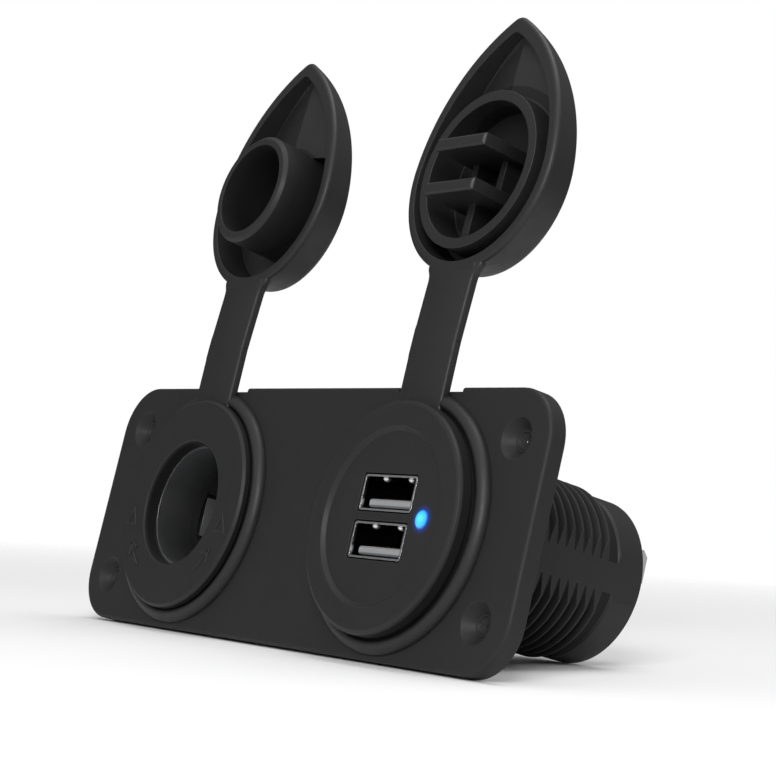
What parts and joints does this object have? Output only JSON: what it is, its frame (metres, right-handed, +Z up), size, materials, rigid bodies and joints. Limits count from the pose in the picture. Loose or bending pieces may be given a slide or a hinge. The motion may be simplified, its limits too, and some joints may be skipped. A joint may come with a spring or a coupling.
{
  "type": "dual car power socket panel",
  "caption": "Flat screw-down panel with a lighter socket and a USB charger socket, each with a strap-hinged teardrop weather cap shown open.",
  "frame": {"origin": "centre of the panel's back face, which goes against the dashboard", "axes": "+X to the right seen from the front, +Y to the back into the dashboard, +Z up"},
  "size_m": [0.12, 0.0535, 0.1055],
  "materials": {
    "panel_plastic": "satin, lightly grained",
    "socket_plastic": "satin",
    "cap_rubber": "satin, soft moulded",
    "nickel_plate": "bright plated",
    "insulator": "moulded phenolic",
    "brass_contact": "turned",
    "tinned_blade": "tinned",
    "port_steel": "bright plated",
    "tongue_plastic": "smooth",
    "gold_contact": "gold flashed",
    "led_lens": "clear tinted, domed",
    "circuit_board": "solder mask",
    "ferrite": "sintered",
    "can_aluminium": "drawn",
    "chip_epoxy": "moulded"
  },
  "bodies": {
    "socket_panel": {"mounting_panel": "panel_plastic", "lighter_housing": "socket_plastic", "lighter_nut": "socket_plastic", "usb_housing": "socket_plastic", "usb_nut": "socket_plastic", "usb_rear_cover": "socket_plastic", "lighter_cap_ring": "cap_rubber", "usb_cap_ring": "cap_rubber", "ground_sleeve": "nickel_plate", "contact_base": "insulator", "centre_contact": "brass_contact", "lighter_positive_blade": "tinned_blade", "lighter_ground_blade": "tinned_blade", "usb_positive_blade": "tinned_blade", "usb_ground_blade": "tinned_blade", "upper_port_shell": "port_steel", "lower_port_shell": "port_steel", "upper_port_tongue": "tongue_plastic", "lower_port_tongue": "tongue_plastic", "upper_port_contacts": "gold_contact", "lower_port_contacts": "gold_contact", "status_led": "led_lens", "led_leads": "tinned_blade", "port_board": "circuit_board", "converter_board": "circuit_board", "inductor": "ferrite", "input_capacitor": "can_aluminium", "output_capacitor": "can_aluminium", "converter_chip": "chip_epoxy"},
    "lighter_cap_body": {"lighter_cap": "cap_rubber"},
    "usb_cap_body": {"usb_cap": "cap_rubber"}
  },
  "joints": [
    {"name": "lighter_cap_fold", "type": "hinge", "parent": "socket_panel", "child": "lighter_cap_body", "pos_m": [-0.0296, -0.00545, 0.0287], "axis": [1, 0, 0], "range_deg": [0, 183.2], "stiffness_Nm_per_rad": 0.012},
    {"name": "usb_cap_fold", "type": "hinge", "parent": "socket_panel", "child": "usb_cap_body", "pos_m": [0.0296, -0.00605, 0.0287], "axis": [1, 0, 0], "range_deg": [0, 182.7], "stiffness_Nm_per_rad": 0.012}
  ]
}
